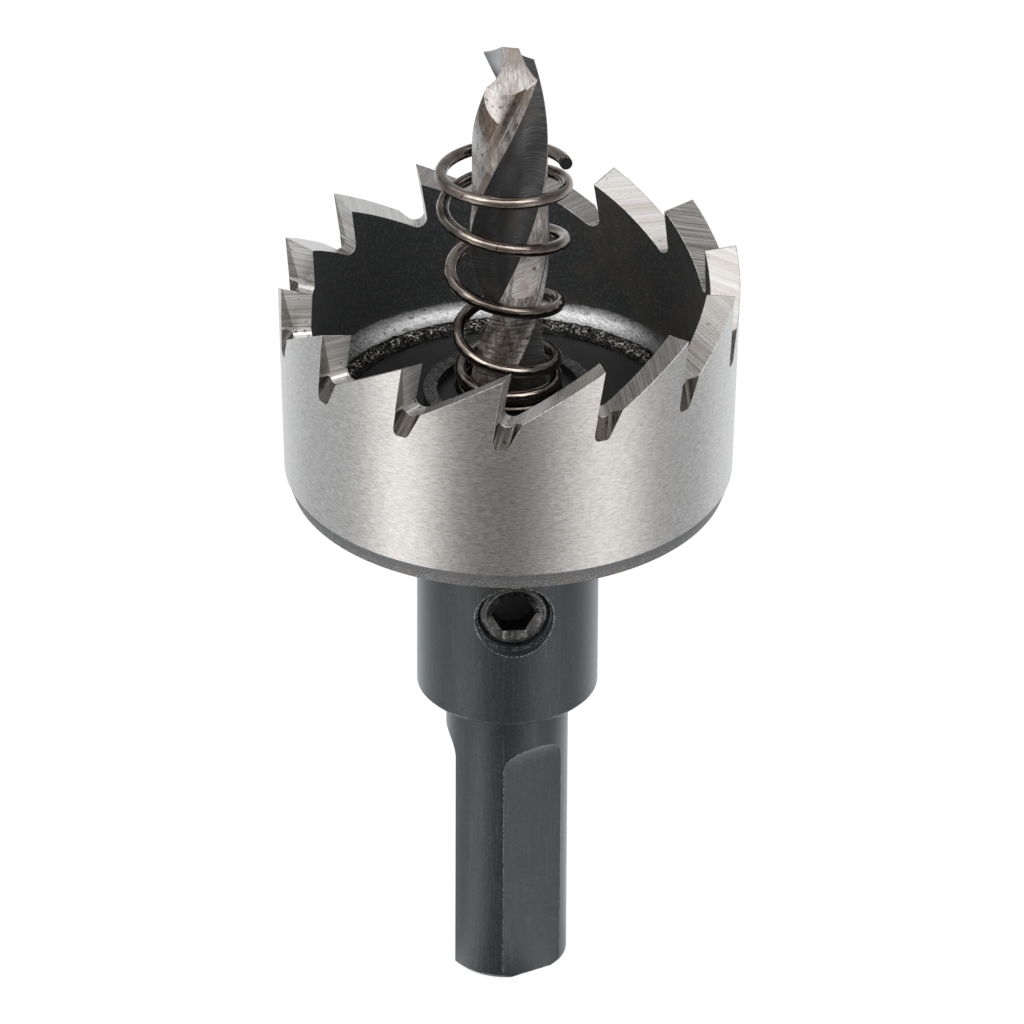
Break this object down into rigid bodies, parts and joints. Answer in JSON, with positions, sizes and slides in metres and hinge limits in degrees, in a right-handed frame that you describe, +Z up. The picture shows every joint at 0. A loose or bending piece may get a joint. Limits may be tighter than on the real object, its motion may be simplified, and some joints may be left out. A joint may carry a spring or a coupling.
{
  "type": "hole saw",
  "caption": "Small hole saw with a toothed steel cup, a twist pilot drill inside an ejector spring, and a flatted shank for a drill chuck.",
  "frame": {"origin": "centre of the shank's end face, the lowest point as it stands", "axes": "+Z up the shared axis to the tip of the pilot drill, -Y the way the set screw faces, +X to the right of the set screw as it is looked at"},
  "size_m": [0.0372, 0.0372, 0.085],
  "materials": {
    "cup_steel": "ground and brushed steel",
    "braze": "rough dark braze",
    "black_steel": "matt black oxide on steel",
    "drill_steel": "ground steel with light rust stains",
    "spring_steel": "dark bronze-brown spring steel",
    "screw_steel": "glossy black steel"
  },
  "bodies": {
    "root": {"saw_cup": "cup_steel", "braze_bead": "braze", "arbor": "black_steel", "pilot_drill": "drill_steel", "ejector_spring": "spring_steel", "set_screw": "screw_steel"}
  },
  "joints": []
}
